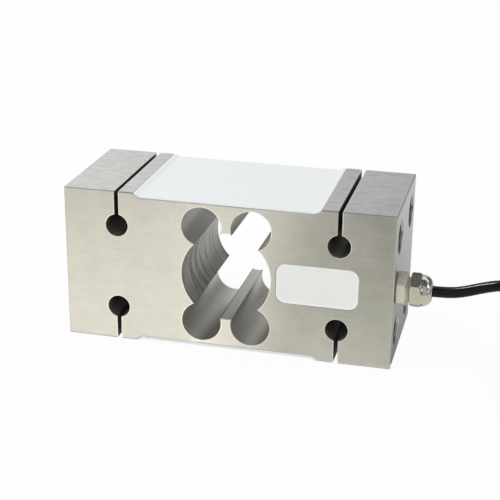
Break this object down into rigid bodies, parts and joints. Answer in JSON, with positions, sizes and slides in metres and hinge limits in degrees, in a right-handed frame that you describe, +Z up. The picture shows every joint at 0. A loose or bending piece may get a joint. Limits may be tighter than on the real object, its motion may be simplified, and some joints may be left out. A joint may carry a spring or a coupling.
{
  "type": "single-point beam load cell",
  "caption": "Steel block load cell: beam with a clover-shaped flexure cut, white gauge covers, potted wiring pocket, threaded end holes and a cable through a gland.",
  "frame": {"origin": "middle of the beam block's underside", "axes": "+X along the beam towards the cable gland, -Y is the face with the wiring pocket, +Z up"},
  "size_m": [0.3148, 0.1083, 0.081],
  "materials": {
    "beam_metal": "fine ground, nickel plated",
    "cover_rubber": "smooth white silicone sheet",
    "potting_white": "poured white silicone, slightly glossy",
    "gauge_film": "amber film with etched foil",
    "copper_foil": "bare copper foil",
    "board_green": "solder-masked glass fibre board",
    "resistor_black": "moulded chip",
    "bridge_wire_sleeve": "thin extruded sleeve",
    "core_red": "extruded insulation",
    "core_black": "extruded insulation",
    "core_green": "extruded insulation",
    "core_white": "extruded insulation",
    "tinned_copper": "tinned strands",
    "gland_nickel": "nickel plated, bright turned",
    "seal_rubber": "moulded black rubber",
    "claw_nylon": "moulded",
    "cable_jacket": "smooth extruded black jacket",
    "tie_nylon": "moulded nylon strap"
  },
  "bodies": {
    "root": {"beam_body": "beam_metal", "upper_left_gauge": "gauge_film", "upper_right_gauge": "gauge_film", "upper_terminal_strip": "board_green", "upper_jumper_ribbons": "copper_foil", "upper_bridge_wires": "bridge_wire_sleeve", "upper_gauge_cover": "cover_rubber", "lower_left_gauge": "gauge_film", "lower_right_gauge": "gauge_film", "lower_terminal_strip": "board_green", "lower_jumper_ribbons": "copper_foil", "lower_bridge_wires": "bridge_wire_sleeve", "lower_gauge_cover": "cover_rubber", "bridge_board": "board_green", "trim_resistors": "resistor_black", "core_red": "core_red", "core_black": "core_black", "core_green": "core_green", "core_white": "core_white", "drain_wire": "tinned_copper", "cable_entry": "cable_jacket", "pocket_potting": "potting_white", "gland_gasket": "seal_rubber", "gland_body": "gland_nickel", "gland_seal": "seal_rubber", "gland_claw": "claw_nylon", "gland_dome_nut": "gland_nickel", "cable_coil": "cable_jacket", "cable_run": "cable_jacket", "cable_tail": "cable_jacket", "coil_tie_front": "tie_nylon", "coil_tie_back": "tie_nylon", "lead_red": "core_red", "lead_black": "core_black", "lead_green": "core_green", "lead_white": "core_white", "lead_drain": "tinned_copper", "lead_tips": "tinned_copper"}
  },
  "joints": []
}
